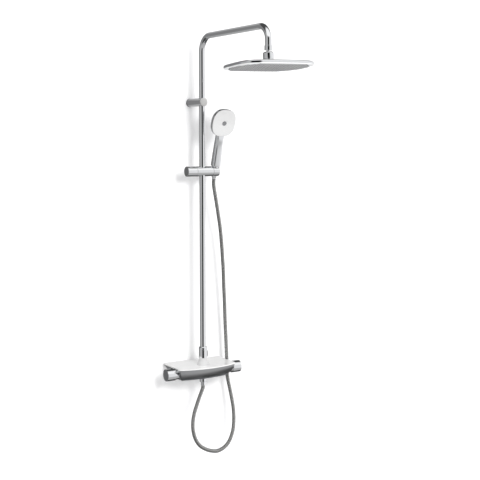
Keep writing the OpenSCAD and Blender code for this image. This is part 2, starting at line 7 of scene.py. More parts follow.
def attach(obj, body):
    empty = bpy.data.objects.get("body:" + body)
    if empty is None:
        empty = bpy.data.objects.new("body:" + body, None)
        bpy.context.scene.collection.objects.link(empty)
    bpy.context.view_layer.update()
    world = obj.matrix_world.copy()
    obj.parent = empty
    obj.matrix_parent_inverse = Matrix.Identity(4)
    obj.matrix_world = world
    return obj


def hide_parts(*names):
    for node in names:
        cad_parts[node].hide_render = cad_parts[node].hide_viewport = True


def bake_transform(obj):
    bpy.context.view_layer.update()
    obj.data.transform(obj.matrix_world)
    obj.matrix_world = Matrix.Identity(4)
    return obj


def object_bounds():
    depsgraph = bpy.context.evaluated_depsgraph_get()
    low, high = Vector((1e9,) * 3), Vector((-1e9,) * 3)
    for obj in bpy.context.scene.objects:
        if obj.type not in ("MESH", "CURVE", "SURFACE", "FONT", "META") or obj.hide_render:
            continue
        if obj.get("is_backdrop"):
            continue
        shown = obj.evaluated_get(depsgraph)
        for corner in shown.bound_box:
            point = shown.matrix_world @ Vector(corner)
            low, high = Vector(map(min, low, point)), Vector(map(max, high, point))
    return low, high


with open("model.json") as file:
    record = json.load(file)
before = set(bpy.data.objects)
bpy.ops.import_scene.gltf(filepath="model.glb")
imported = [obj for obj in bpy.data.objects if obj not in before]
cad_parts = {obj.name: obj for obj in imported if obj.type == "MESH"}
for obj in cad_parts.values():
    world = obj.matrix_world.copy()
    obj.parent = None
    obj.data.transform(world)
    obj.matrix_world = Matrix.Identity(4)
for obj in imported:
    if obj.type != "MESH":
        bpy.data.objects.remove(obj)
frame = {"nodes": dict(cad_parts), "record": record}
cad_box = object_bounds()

# Rainfall shower column. Metres; the wall is the plane y = 0, the room is on the -Y side,
# x = 0 is the riser's plane and z = 0 is the height of the mixer's axis.
nodes = frame["nodes"]
MM = 0.001

# ---- sizes of the column, as in the CAD model ----

RISER_Y = -0.093
PIPE_R = 0.011
PIPE_BORE_R = 0.0098
ARM_Z = 1.226
ARM_REACH = 0.533
REAR_BEND_R = 0.056
FRONT_BEND_R = 0.050
BRACKET_Z = 0.992
BRACKET_R = 0.015
BRACKET_LEN = 0.107
KNOB_R = 0.0225
KNOB_START = 0.1215
KNOB_END = 0.156
SHELF_DEPTH = 0.156
SHELF_SIDE_DEPTH = 0.132
SHELF_HALF = 0.118
SHELF_Z = 0.024
SHELF_T = 0.004
COLLAR_Z = 0.049
SLIDER_Z = 0.741
SLIDER_R = 0.0185
SLIDER_HALF = 0.066
SLIDER_SEAM = 0.028
HOLDER_SEAM = 0.0395
HOLDER_X = 0.053
HANDSET_TILT = 14.5
PLATE_TILT = 20.0
PLATE_CENTRE = (0.053, -0.1625, 0.9145)
PLATE_HALF = (0.047, 0.050)
PLATE_POWER = 2.6
SLEEVE_Z = 1.144
BALL_Z = 1.128
HEAD_PITCH = -3.7
HEAD_ROLL = -1.3
HEAD_DROP = 0.039
HEAD_HALF = (0.142, 0.104)
HEAD_POWER = 3.5
HOSE_D = 0.014
NOZZLE_PITCH = 0.0145
NOZZLE_MARGIN = 0.009
BUTTON_X = -0.131
FLOOR_Z = -1.05
SMOOTH_ANGLE = 34.0

# ---- camera ----

camera_data = bpy.data.cameras.new("camera")
camera_data.sensor_width = 36.0
camera_data.lens = 75.25
camera_data.clip_start = 0.05
camera_data.clip_end = 60.0
camera = bpy.data.objects.new("camera", camera_data)
camera.location = (-1.80235, -3.30087, 0.84983)
camera.rotation_euler = (math.radians(84.3905), 0.0, math.radians(-31.477))
bpy.context.scene.collection.objects.link(camera)
bpy.context.scene.camera = camera


# ---- mesh tools ----

def add_piece(name, verts, faces, where=None, smooth_angle=SMOOTH_ANGLE):
    """A mesh piece, smooth but for edges sharper than the angle."""
    mesh = bpy.data.meshes.new(name)
    mesh.from_pydata([tuple(v) for v in verts], [], faces)
    mesh.validate()
    mesh.update()
    mesh.polygons.foreach_set("use_smooth", [True] * len(mesh.polygons))
    mesh.set_sharp_from_angle(angle=math.radians(smooth_angle))
    piece = bpy.data.objects.new(name, mesh)
    bpy.context.scene.collection.objects.link(piece)
    if where is not None:
        piece.matrix_world = where
    return piece


def finish_piece(piece, material, body, slot, *replaced):
    """Gives a piece its material, the body that it rides on and the nodes that it stands for."""
    piece.data.materials.append(material)
    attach(piece, body)
    if replaced:
        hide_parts(*replaced)
    return piece


def place(x, y, z, rx=0.0, ry=0.0, rz=0.0):
    turn = Matrix.Rotation(math.radians(rz), 4, "Z")
    turn = turn @ Matrix.Rotation(math.radians(ry), 4, "Y")
    turn = turn @ Matrix.Rotation(math.radians(rx), 4, "X")
    return Matrix.Translation((x, y, z)) @ turn


def along_x(x, z=0.0, side=1):
    """+Z of the piece points away from the middle, along X."""
    return place(x, RISER_Y, z, ry=90.0 * side)


def rounded(corners, steps=5):
    """Rounds a profile: each corner is (r, z) or (r, z, radius)."""
    out = []
    count = len(corners)
    for i, corner in enumerate(corners):
        here = Vector(corner[:2])
        radius = corner[2] if len(corner) > 2 else 0.0
        if radius <= 0.0 or i in (0, count - 1):
            out.append(here)
            continue
        before = Vector(corners[i - 1][:2]) - here
        after = Vector(corners[i + 1][:2]) - here
        reach = min(radius, 0.48 * before.length, 0.48 * after.length)
        start = here + before.normalized() * reach
        end = here + after.normalized() * reach
        for k in range(steps + 1):
            t = k / steps
            out.append(start * (1 - t) ** 2 + here * (2 * t * (1 - t)) + end * t ** 2)
    return out


def lathe(name, corners, where=None, sides=96, smooth_angle=SMOOTH_ANGLE):
    """A turned piece. The profile runs in (r, z); it closes on the axis where r is 0."""
    profile = rounded(corners)
    verts = []
    rings = []
    for r, z in profile:
        if r < 1e-7:
            rings.append([len(verts)])
            verts.append((0.0, 0.0, z))
            continue
        rings.append(list(range(len(verts), len(verts) + sides)))
        for k in range(sides):
            a = 2 * math.pi * k / sides
            verts.append((r * math.cos(a), r * math.sin(a), z))
    faces = []
    pairs = list(zip(rings, rings[1:]))
    closed = profile[0].x > 1e-7 and profile[-1].x > 1e-7
    if closed:
        pairs.append((rings[-1], rings[0]))
    for low, high in pairs:
        faces += bridge(low, high, sides)
    return add_piece(name, verts, faces, where, smooth_angle)


def bridge(low, high, sides):
    """Faces between two rings; either may be a single point."""
    if len(low) == 1 and len(high) == 1:
        return []
    faces = []
    for k in range(sides):
        n = (k + 1) % sides
        if len(low) == 1:
            faces.append((low[0], high[n], high[k]))
        elif len(high) == 1:
            faces.append((low[k], low[n], high[0]))
        else:
            faces.append((low[k], low[n], high[n], high[k]))
    return faces


def ring_at(i, sides):
    return list(range(i * sides, (i + 1) * sides))


def skin_rings(count, sides):
    """Faces along a row of rings, each with the same count of points."""
    faces = []
    for i in range(count - 1):
        faces += bridge(ring_at(i, sides), ring_at(i + 1, sides), sides)
    return faces


def loft(name, loops, where=None, cap_start=True, cap_end=True, smooth_angle=SMOOTH_ANGLE):
    """A skin over closed loops that all have the same count of points."""
    sides = len(loops[0])
    verts = [p for loop in loops for p in loop]
    faces = skin_rings(len(loops), sides)
    for wanted, i in ((cap_start, 0), (cap_end, len(loops) - 1)):
        if not wanted:
            continue
        ring = ring_at(i, sides)
        verts.append(sum((Vector(verts[k]) for k in ring), Vector()) / sides)
        tip = [len(verts) - 1]
        faces += bridge(tip, ring, sides) if i == 0 else bridge(ring, tip, sides)
    return add_piece(name, verts, faces, where, smooth_angle)


def soft_outline(a, b, power, count, z=0.0):
    """A superellipse with the given half sides, evenly spaced round it."""
    dense = []
    fine = count * 12
    for i in range(fine):
        t = 2 * math.pi * i / fine
        c = math.cos(t)
        s = math.sin(t)
        x = a * math.copysign(abs(c) ** (2 / power), c)
        y = b * math.copysign(abs(s) ** (2 / power), s)
        dense.append(Vector((x, y, z)))
    return even_points(dense, count, closed=True)


def even_points(points, count, closed=False):
    """Points at even steps along a polyline."""
    line = list(points) + ([points[0]] if closed else [])
    total = 0.0
    reach = [0.0]
    for p, q in zip(line, line[1:]):
        total += (q - p).length
        reach.append(total)
    steps = count if closed else count - 1
    out = []
    k = 0
    for i in range(count):
        want = total * i / steps
        while k < len(line) - 2 and reach[k + 1] < want:
            k += 1
        span = reach[k + 1] - reach[k]
        t = (want - reach[k]) / span if span > 0 else 0.0
        out.append(line[k].lerp(line[k + 1], t))
    return out


def frames_along(points):
    """At each point, two unit directions square to the line, without twist."""
    out = []
    side = None
    last = len(points) - 1
    for i, p in enumerate(points):
        run = (points[min(i + 1, last)] - points[max(i - 1, 0)]).normalized()
        if side is None:
            side = run.cross(Vector((0, 1, 0)))
        side = (side - run * side.dot(run)).normalized()
        out.append((p, side, run.cross(side)))
    return out


def tube(name, points, radius_at, sides, where=None, bore=None):
    """A tube along points. radius_at(i, angle) is its outer radius; with a bore it is open."""
    verts = []
    spine = frames_along(points)
    for i, (p, u, v) in enumerate(spine):
        for k in range(sides):
            a = 2 * math.pi * k / sides
            verts.append(p + (u * math.cos(a) + v * math.sin(a)) * radius_at(i, a))
    faces = skin_rings(len(points), sides)
    for i in (0, len(points) - 1):
        ring = ring_at(i, sides)
        p, u, v = spine[i]
        if bore is None:
            verts.append(p)
            tip = [len(verts) - 1]
            faces += bridge(tip, ring, sides) if i == 0 else bridge(ring, tip, sides)
            continue
        first = len(verts)
        for k in range(sides):
            a = 2 * math.pi * k / sides
            verts.append(p + (u * math.cos(a) + v * math.sin(a)) * bore)
        inner = list(range(first, first + sides))
        faces += bridge(inner, ring, sides) if i == 0 else bridge(ring, inner, sides)
    return add_piece(name, verts, faces, where)


# ---- shader groups ----

def new_group(name, inputs, outputs):
    """An empty shader node group with named sockets."""
    group = bpy.data.node_groups.new(name, "ShaderNodeTree")
    for label, value in inputs:
        socket = group.interface.new_socket(label, in_out="INPUT", socket_type="NodeSocketFloat")
        socket.default_value = value
    for label, kind in outputs:
        group.interface.new_socket(label, in_out="OUTPUT", socket_type="NodeSocket" + kind)
    return group, group.nodes.new("NodeGroupInput"), group.nodes.new("NodeGroupOutput")


def math_node(tree, kind, a, b=None, clamp=False):
    node = tree.nodes.new("ShaderNodeMath")
    node.operation = kind
    node.use_clamp = clamp
    for i, value in enumerate((a, b)):
        if value is None:
            continue
        if isinstance(value, (int, float)):
            node.inputs[i].default_value = value
        else:
            tree.links.new(value, node.inputs[i])
    return node.outputs[0]


def noise(tree, scale, detail=3.0, stretch=None, vector=None, roughness=0.55):
    """Noise over the piece's own coordinates, in metres."""
    if vector is None:
        vector = tree.nodes.new("ShaderNodeTexCoord").outputs["Object"]
    if stretch is not None:
        mapping = tree.nodes.new("ShaderNodeMapping")
        mapping.inputs["Scale"].default_value = stretch
        tree.links.new(vector, mapping.inputs["Vector"])
        vector = mapping.outputs[0]
    node = tree.nodes.new("ShaderNodeTexNoise")
    tree.links.new(vector, node.inputs["Vector"])
    if isinstance(scale, (int, float)):
        node.inputs["Scale"].default_value = scale
    else:
        tree.links.new(scale, node.inputs["Scale"])
    node.inputs["Detail"].default_value = detail
    node.inputs["Roughness"].default_value = roughness
    return node.outputs["Fac"]


def smooth_map(tree, value, low, high, to_low=0.0, to_high=1.0):
    node = tree.nodes.new("ShaderNodeMapRange")
    node.interpolation_type = "SMOOTHSTEP"
    tree.links.new(value, node.inputs["Value"])
    for label, number in (
        ("From Min", low),
        ("From Max", high),
        ("To Min", to_low),
        ("To Max", to_high),
    ):
        if isinstance(number, (int, float)):
            node.inputs[label].default_value = number
        else:
            tree.links.new(number, node.inputs[label])
    return node.outputs["Result"]


def build_handling_marks():
    """Faint wipe marks and hairlines: what a bathroom cloth leaves on a smooth surface."""
    group, ins, outs = new_group(
        "handling_marks",
        [("Polish", 0.08), ("Marks", 0.05)],
        [("Roughness", "Float"), ("Height", "Float")],
    )
    clouds = smooth_map(group, noise(group, 26.0, 4.0), 0.42, 0.74)
    hairs = smooth_map(group, noise(group, 160.0, 2.0, stretch=(1.0, 1.0, 0.06)), 0.55, 0.78)
    both = math_node(group, "ADD", clouds, math_node(group, "MULTIPLY", hairs, 0.55))
    spread = math_node(group, "MULTIPLY", both, ins.outputs["Marks"])
    rough = math_node(group, "ADD", ins.outputs["Polish"], spread, clamp=True)
    group.links.new(rough, outs.inputs["Roughness"])
    height = math_node(group, "MULTIPLY", hairs, ins.outputs["Marks"])
    group.links.new(height, outs.inputs["Height"])
    return group


def build_water_spots():
    """Dried drops: small round marks with a soft edge, gathered in patches."""
    group, ins, outs = new_group(
        "water_spots", [("Per Metre", 110.0), ("Amount", 0.5)], [("Mask", "Float")]
    )
    coords = group.nodes.new("ShaderNodeTexCoord")
    cells = group.nodes.new("ShaderNodeTexVoronoi")
    group.links.new(coords.outputs["Object"], cells.inputs["Vector"])
    group.links.new(ins.outputs["Per Metre"], cells.inputs["Scale"])
    drops = smooth_map(group, cells.outputs["Distance"], 0.24, 0.12)
    patches = smooth_map(group, noise(group, 9.0, 2.0), 0.5, 0.68)
    mask = math_node(group, "MULTIPLY", drops, patches)
    mask = math_node(group, "MULTIPLY", mask, ins.outputs["Amount"], clamp=True)
    group.links.new(mask, outs.inputs["Mask"])
    return group


def build_moulded_grain():
    """The fine eroded grain of a moulding tool, with slow colour drift over the part."""
    group, ins, outs = new_group(
        "moulded_grain",
        [("Grain Per Metre", 2600.0), ("Drift", 0.05)],
        [("Height", "Float"), ("Tint", "Float")],
    )
    fine = noise(group, ins.outputs["Grain Per Metre"], 2.0)
    group.links.new(fine, outs.inputs["Height"])
    drift = math_node(group, "SUBTRACT", noise(group, 14.0, 3.0), 0.5)
    drift = math_node(group, "MULTIPLY", drift, ins.outputs["Drift"])
    tint = math_node(group, "ADD", drift, 1.0)
    group.links.new(tint, outs.inputs["Tint"])
    return group


def build_turned_lines():
    """Fine rings that a lathe tool leaves on a face, round the piece's own axis."""
    group, ins, outs = new_group(
        "turned_lines",
        [("Rings Per Metre", 2400.0), ("Depth", 1.0)],
        [("Height", "Float"), ("Streak", "Float")],
    )
    coords = group.nodes.new("ShaderNodeTexCoord")
    split = group.nodes.new("ShaderNodeSeparateXYZ")
    group.links.new(coords.outputs["Object"], split.inputs[0])
    x2 = math_node(group, "MULTIPLY", split.outputs[0], split.outputs[0])
    y2 = math_node(group, "MULTIPLY", split.outputs[1], split.outputs[1])
    radius = math_node(group, "SQRT", math_node(group, "ADD", x2, y2))
    join = group.nodes.new("ShaderNodeCombineXYZ")
    scaled = math_node(group, "MULTIPLY", radius, ins.outputs["Rings Per Metre"])
    group.links.new(scaled, join.inputs[0])
    rings = noise(group, 1.0, 1.0, vector=join.outputs[0])
    group.links.new(math_node(group, "MULTIPLY", rings, ins.outputs["Depth"]), outs.inputs["Height"])
    group.links.new(rings, outs.inputs["Streak"])
    return group


MARKS = build_handling_marks()
SPOTS = build_water_spots()
GRAIN = build_moulded_grain()
TURNED = build_turned_lines()


# ---- materials ----

def new_material(name, **constants):
    material = bpy.data.materials.new(name)
    material.use_nodes = True
    shader = material.node_tree.nodes["Principled BSDF"]
    for label, value in constants.items():
        socket = shader.inputs[label.replace("_", " ")]
        socket.default_value = (*value, 1.0) if isinstance(value, tuple) else value
    return material, material.node_tree, shader


def use_group(tree, group, **values):
    node = tree.nodes.new("ShaderNodeGroup")
    node.node_tree = group
    for label, value in values.items():
        node.inputs[label.replace("_", " ")].default_value = value
    return node


def bump(tree, shader, height, distance, strength=1.0):
    node = tree.nodes.new("ShaderNodeBump")
    node.inputs["Strength"].default_value = strength
    node.inputs["Distance"].default_value = distance
    tree.links.new(height, node.inputs["Height"])
    tree.links.new(node.outputs["Normal"], shader.inputs["Normal"])


def mix_colour(tree, factor, low, high):
    node = tree.nodes.new("ShaderNodeMix")
    node.data_type = "RGBA"
    for label, colour in (("A", low), ("B", high)):
        if isinstance(colour, tuple):
            node.inputs[label].default_value = (*colour, 1.0)
        else:
            tree.links.new(colour, node.inputs[label])
    tree.links.new(factor, node.inputs["Factor"])
    return node.outputs["Result"]


def plated(name, colour, spotted, polish, marks, spots=0.5, metallic=1.0):
    """Plated or satin-painted metal: polish, wipe marks and a few dried drops."""
    material, tree, shader = new_material(name, Metallic=metallic)
    wear = use_group(tree, MARKS, Polish=polish, Marks=marks)
    drops = use_group(tree, SPOTS, Per_Metre=150.0, Amount=spots)
    rough = math_node(tree, "MULTIPLY", drops.outputs["Mask"], 0.16)
    rough = math_node(tree, "ADD", wear.outputs["Roughness"], rough, clamp=True)
    tree.links.new(rough, shader.inputs["Roughness"])
    colour = mix_colour(tree, drops.outputs["Mask"], colour, spotted)
    tree.links.new(colour, shader.inputs["Base Color"])
    bump(tree, shader, wear.outputs["Height"], 0.00002)
    return material


def turned_metal(name, colour, dark, rough, ring_depth):
    """Metal with lathe rings on it: the streaks show in its gloss and its colour."""
    material, tree, shader = new_material(name, Metallic=1.0)
    lines = use_group(tree, TURNED, Rings_Per_Metre=2600.0, Depth=ring_depth)
    wear = use_group(tree, MARKS, Polish=rough, Marks=0.08)
    streak = math_node(tree, "SUBTRACT", lines.outputs["Streak"], 0.5)
    streak = math_node(tree, "MULTIPLY", streak, 0.25)
    rough = math_node(tree, "ADD", wear.outputs["Roughness"], streak, clamp=True)
    tree.links.new(rough, shader.inputs["Roughness"])
    colour = mix_colour(tree, lines.outputs["Streak"], dark, colour)
    tree.links.new(colour, shader.inputs["Base Color"])
    bump(tree, shader, lines.outputs["Height"], 0.00002)
    return material


def moulded(name, colour, rough, grain=2600.0, depth=0.00002, drift=0.08, **constants):
    """Moulded plastic or rubber: tool grain, slow colour drift and a little wear in the gloss."""
    material, tree, shader = new_material(name, **constants)
    skin = use_group(tree, GRAIN, Grain_Per_Metre=grain, Drift=drift)
    wear = use_group(tree, MARKS, Polish=rough, Marks=0.12)
    dark = tuple(c * (1 - drift) for c in colour)
    light = tuple(min(1.0, c * (1 + drift)) for c in colour)
    drift_mask = smooth_map(tree, skin.outputs["Tint"], 1 - drift * 0.5, 1 + drift * 0.5)
    tree.links.new(mix_colour(tree, drift_mask, dark, light), shader.inputs["Base Color"])
    tree.links.new(wear.outputs["Roughness"], shader.inputs["Roughness"])
    bump(tree, shader, skin.outputs["Height"], depth)
    return material


def build_glass_top():
    """White back-painted glass: a deep gloss over white, with dried drops."""
    material, tree, shader = new_material("white_glass", IOR=1.5, Coat_Weight=0.6, Coat_Roughness=0.03)
    wear = use_group(tree, MARKS, Polish=0.12, Marks=0.08)
    drops = use_group(tree, SPOTS, Per_Metre=95.0, Amount=0.35)
    rough = math_node(tree, "MULTIPLY", drops.outputs["Mask"], 0.25)
    rough = math_node(tree, "ADD", wear.outputs["Roughness"], rough, clamp=True)
    tree.links.new(rough, shader.inputs["Roughness"])
    colour = mix_colour(tree, drops.outputs["Mask"], (0.80, 0.80, 0.79), (0.76, 0.76, 0.755))
    tree.links.new(colour, shader.inputs["Base Color"])
    bump(tree, shader, noise(tree, 60.0, 2.0), 0.00001)
    return material


CHROME = plated("chrome", (0.86, 0.87, 0.88), (0.74, 0.75, 0.77), 0.045, 0.03)
SOFT_CHROME = plated("soft_chrome", (0.60, 0.61, 0.62), (0.52, 0.53, 0.54), 0.30, 0.07, 0.25)
FACE_STEEL = plated("face_steel", (0.80, 0.805, 0.81), (0.74, 0.745, 0.75), 0.40, 0.06, 0.3, 0.0)
HOSE_STEEL = plated("hose_steel", (0.42, 0.42, 0.41), (0.34, 0.34, 0.33), 0.24, 0.08, 0.3)
SATIN_GREY = turned_metal("satin_grey", (0.55, 0.56, 0.57), (0.44, 0.45, 0.46), 0.42, 1.0)
PALE_SATIN = turned_metal("pale_satin", (0.90, 0.895, 0.88), (0.80, 0.795, 0.78), 0.55, 0.6)
BRASS = turned_metal("brass", (0.80, 0.60, 0.30), (0.62, 0.44, 0.20), 0.34, 0.8)
STAINLESS = turned_metal("stainless", (0.66, 0.66, 0.65), (0.50, 0.50, 0.50), 0.28, 0.6)
WHITE_PLASTIC = moulded("white_plastic", (0.58, 0.58, 0.578), 0.30, drift=0.03)
GREY_PLASTIC = moulded("grey_plastic", (0.06, 0.062, 0.065), 0.42)
CARTRIDGE_PLASTIC = moulded("cartridge_plastic", (0.62, 0.55, 0.42), 0.45, grain=1500.0)
SILICONE = moulded("silicone", (0.02, 0.021, 0.022), 0.7, grain=3200.0, Specular_IOR_Level=0.15)
PALE_SILICONE = moulded("silicone_pale", (0.60, 0.60, 0.595), 0.5, grain=3200.0)
SEAL_RUBBER = moulded("seal_rubber", (0.03, 0.03, 0.03), 0.6, grain=1800.0, depth=0.00004)
GLASS_TOP = build_glass_top()

BY_SLOT = {
    "chrome": CHROME,
    "chrome_soft": SOFT_CHROME,
    "face_steel": FACE_STEEL,
    "hose_steel": HOSE_STEEL,
    "satin_grey": SATIN_GREY,
    "brass": BRASS,
    "stainless": STAINLESS,
    "white_plastic": WHITE_PLASTIC,
    "grey_plastic": GREY_PLASTIC,
    "cartridge_plastic": CARTRIDGE_PLASTIC,
    "silicone": SILICONE,
    "silicone_pale": PALE_SILICONE,
    "seal_rubber": SEAL_RUBBER,
    "white_glass": GLASS_TOP,
}


# ---- hose ----

# Middle line of the hose in millimetres, from the handset down and up to the mixer's outlet.
HOSE_ROUTE = [
    (53, -85.5, 712), (54, -82, 697), (57, -80, 679), (64, -80, 640), (74, -78, 590),
    (86, -74, 530), (95, -69, 474), (102, -64, 420), (108, -60, 364), (113, -55, 305),
    (118, -52, 240), (122, -49, 172), (127, -47, 94), (130, -47, 26), (131, -49, -38),
    (134, -52, -66), (139, -56, -98), (144, -62, -135), (146, -70, -172),
    (143, -78, -207), (135, -87, -242), (121, -94, -271), (103, -99, -294),
    (79, -103, -308), (52, -106, -313), (24, -108, -307), (-1, -109, -296),
    (-24, -108, -279), (-41, -106, -252), (-49, -104, -220), (-49, -102, -190),
    (-43, -100, -160), (-32, -98, -132), (-19, -95, -104), (-7, -93, -80),
    (-1, -93, -66), (0, -93, -56),
]
# Lengths of the hose's upper, middle and lower pieces, from the handset end.
HOSE_LENGTHS = (0.090, 0.090, 1.231)
HOSE_PITCH = 0.0050
HOSE_STEP = 0.0009


def smooth_route(route, steps):
    """The same smooth curve through the route's points as the CAD model's hose."""
    p = [Vector(point) * MM for point in route]
    ends = [2 * p[0] - p[1]] + p + [2 * p[-1] - p[-2]]
    out = []
    for i in range(len(p) - 1):
        a, b, c, d = ends[i:i + 4]
        for s in range(steps):
            t = s / steps
            bend = (2 * a - 5 * b + 4 * c - d) * t * t + (3 * b - a - 3 * c + d) * t ** 3
            out.append((2 * b + (c - a) * t + bend) * 0.5)
    return out + [p[-1]]


def hose_wall(first, step):
    """The hose's radius: a rounded metal strip wound in a spiral."""
    def radius(i, angle):
        turn = (first + i * step) / HOSE_PITCH + angle / (2 * math.pi)
        across = abs((turn % 1.0) - 0.5) * 2
        return HOSE_D / 2 - 0.00110 * across ** 2.4
    return radius


def build_hose():
    line = smooth_route(HOSE_ROUTE, 40)
    total = sum(HOSE_LENGTHS)
    count = int(total / HOSE_STEP) + 1
    points = even_points(line, count)
    step = total / (count - 1)
    cuts = [0]
    for length in HOSE_LENGTHS[:-1]:
        cuts.append(cuts[-1] + round(length / step))
    cuts.append(count - 1)
    names = ("hose_upper", "hose_middle", "hose_lower")
    pieces = []
    for name, start, end in zip(names, cuts, cuts[1:]):
        stretch = points[start:end + 1]
        piece = tube(name, stretch, hose_wall(start * step, step), 20)
        piece.data.materials.append(HOSE_STEEL)
        pieces.append((piece, stretch))
    return pieces


(hose_upper, upper_line), (hose_middle, middle_line), (hose_lower, lower_line) = build_hose()
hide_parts("hose")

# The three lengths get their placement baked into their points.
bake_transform(hose_lower)
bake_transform(hose_middle)
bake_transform(hose_upper)


# ---- carried-over nodes ----

# Brass in the record, but plated where it can be seen.
PLATED_BRASS = ("mixer_body",)

for part in frame["record"]["subparts"]:
    mesh = nodes[part["node"]].data
    mesh.materials.clear()
    look = CHROME if part["node"] in PLATED_BRASS else BY_SLOT[part["material_slot"]]
    mesh.materials.append(look)


# ---- riser, bracket and arm ----

def arc(centre, radius, start, end, steps):
    """Points of an arc in the plane x = 0, from one angle to the other, in degrees."""
    out = []
    for i in range(steps + 1):
        a = math.radians(start + (end - start) * i / steps)
        y = centre[0] + radius * math.cos(a)
        z = centre[1] + radius * math.sin(a)
        out.append(Vector((0.0, y, z)))
    return out


def build_arm():
    rear = (RISER_Y - REAR_BEND_R, ARM_Z - REAR_BEND_R)
    front = (FRONT_BEND_R - ARM_REACH, ARM_Z - FRONT_BEND_R)
    line = [Vector((0.0, RISER_Y, BRACKET_Z + 0.005 * i)) for i in range(3)]
    line += arc(rear, REAR_BEND_R, 0.0, 90.0, 30)
    line += arc(front, FRONT_BEND_R, 90.0, 180.0, 30)
    line += [Vector((0.0, -ARM_REACH, SLEEVE_Z + 0.006))]
    pipe = tube("arm_pipe_polished", line, lambda i, a: PIPE_R, 72)
    finish_piece(pipe, CHROME, "column", "chrome", "arm_pipe")


def turned(name, corners, where, look, body, slot, *replaced, sides=96):
    """A lathe piece with its material, body and the node that it stands for."""
    piece = lathe(name, corners, where, sides)
    return finish_piece(piece, look, body, slot, *replaced)


def build_riser():
    on_riser = place(0.0, RISER_Y, 0.0)
    low = COLLAR_Z + 0.003
    high = BRACKET_Z - 0.0002
    turned(
        "riser_polished",
        [(PIPE_BORE_R, low), (PIPE_R, low), (PIPE_R, high), (PIPE_BORE_R, high)],
        on_riser, CHROME, "column", "chrome", "riser_tube",
    )
    flare = []
    for i in range(25):
        t = i / 24
        flare.append((0.0145 + 0.0085 * (1 - t) ** 2.4, SHELF_Z + 0.0002 + t * 0.0248))
    turned(
        "riser_hub_flared",
        [(0.0097, SHELF_Z + 0.0002)] + flare + [(0.0097, COLLAR_Z)],
        on_riser, WHITE_PLASTIC, "column", "white_plastic", "riser_hub",
    )
    top = COLLAR_Z + 0.042
    groove = COLLAR_Z + 0.031
    turned(
        "riser_collar_polished",
        [
            (0.0112, COLLAR_Z), (0.0155, COLLAR_Z, 0.0006), (0.0155, groove, 0.0002),
            (0.0150, groove + 0.0001, 0.0002), (0.0150, groove + 0.0011, 0.0002),
            (0.0155, groove + 0.0012, 0.0002), (0.0155, top - 0.003, 0.0008),
            (0.0135, top, 0.0006), (0.0112, top),
        ],
        on_riser, CHROME, "column", "chrome", "riser_collar",
    )
    pill = []
    for i in range(17):
        a = math.pi * (i / 16 - 0.5)
        middle = 0.055 if i <= 8 else 0.071
        pill.append((0.005 * math.cos(a), middle + 0.005 * math.sin(a)))
    pill[0] = (0.0, 0.050)
    pill[-1] = (0.0, 0.076)
    turned(
        "collar_lock_tab", pill, place(0.0146, RISER_Y, 0.0),
        GREY_PLASTIC, "column", "grey_plastic", "collar_lock", sides=48,
    )


def build_bracket():
    off_wall = place(0.0, 0.0, BRACKET_Z, rx=90.0)
    front = BRACKET_LEN - 0.003
    turned(
        "bracket_sleeve_polished",
        [
            (0.0125, 0.0032), (BRACKET_R, 0.0032, 0.0005),
            (BRACKET_R, front - 0.0001, 0.0003), (0.008, front - 0.0001),
        ],
        off_wall, CHROME, "column", "chrome", "bracket_sleeve",
    )
    turned(
        "bracket_cap_disc",
        [
            (0.0, front), (BRACKET_R, front, 0.0003), (BRACKET_R, BRACKET_LEN - 0.0002, 0.0008),
            (0.0, BRACKET_LEN),
        ],
        off_wall, PALE_SATIN, "column", "chrome_soft", "bracket_cap",
    )


build_arm()
build_riser()
build_bracket()


# ---- mixer ----

def tray_outline(half, back, side, front, z, corner=0.006):
    """Half an outline's run, open at the wall: left side, corner, bowed front, corner, side."""
    bow = front - side
    bow_r = (half * half + bow * bow) / (2 * bow)
    def front_y(x):
        return -front + bow_r - math.sqrt(bow_r * bow_r - x * x)
    start = half - corner
    left = []
    for i in range(9):
        left.append((-half, -back + (corner - side + back) * i / 8))
    bend = [(-half, corner - side), (-half, front_y(half)), (-start, front_y(start))]
    for i in range(1, 9):
        t = i / 9
        x = bend[0][0] * (1 - t) ** 2 + bend[1][0] * 2 * t * (1 - t) + bend[2][0] * t * t
        y = bend[0][1] * (1 - t) ** 2 + bend[1][1] * 2 * t * (1 - t) + bend[2][1] * t * t
        left.append((x, y))
    middle = []
    for i in range(33):
        x = -start + 2 * start * i / 32
        middle.append((x, front_y(x)))
    right = [(-x, y) for x, y in reversed(left)]
    return [Vector((x, y, z)) for x, y in left + middle + right]


def drawn_in(outline, distance, z):
    """The outline moved inwards, at another height."""
    out = []
    last = len(outline) - 1
    for i, p in enumerate(outline):
        run = outline[min(i + 1, last)] - outline[max(i - 1, 0)]
        out.append(Vector((p.x - run.y * distance / run.length, p.y + run.x * distance / run.length, z)))
    return out


def build_shelf():
    """A plate of white glass with rounded edges all round."""
    outline = tray_outline(SHELF_HALF, 0.001, SHELF_SIDE_DEPTH, SHELF_DEPTH, 0.0)
    low = SHELF_Z - SHELF_T
    loops = []
    for inset, z in (
        (0.0016, low), (0.0007, low + 0.0002), (0.0002, low + 0.0007), (0.0, low + 0.0014),
        (0.0, SHELF_Z - 0.0014), (0.0002, SHELF_Z - 0.0007), (0.0007, SHELF_Z - 0.0002),
        (0.0016, SHELF_Z),
    ):
        loops.append(drawn_in(outline, -inset, z))
    shelf = loft("shelf_glass", loops, smooth_angle=30.0)
    finish_piece(shelf, GLASS_TOP, "column", "white_glass", "shelf")


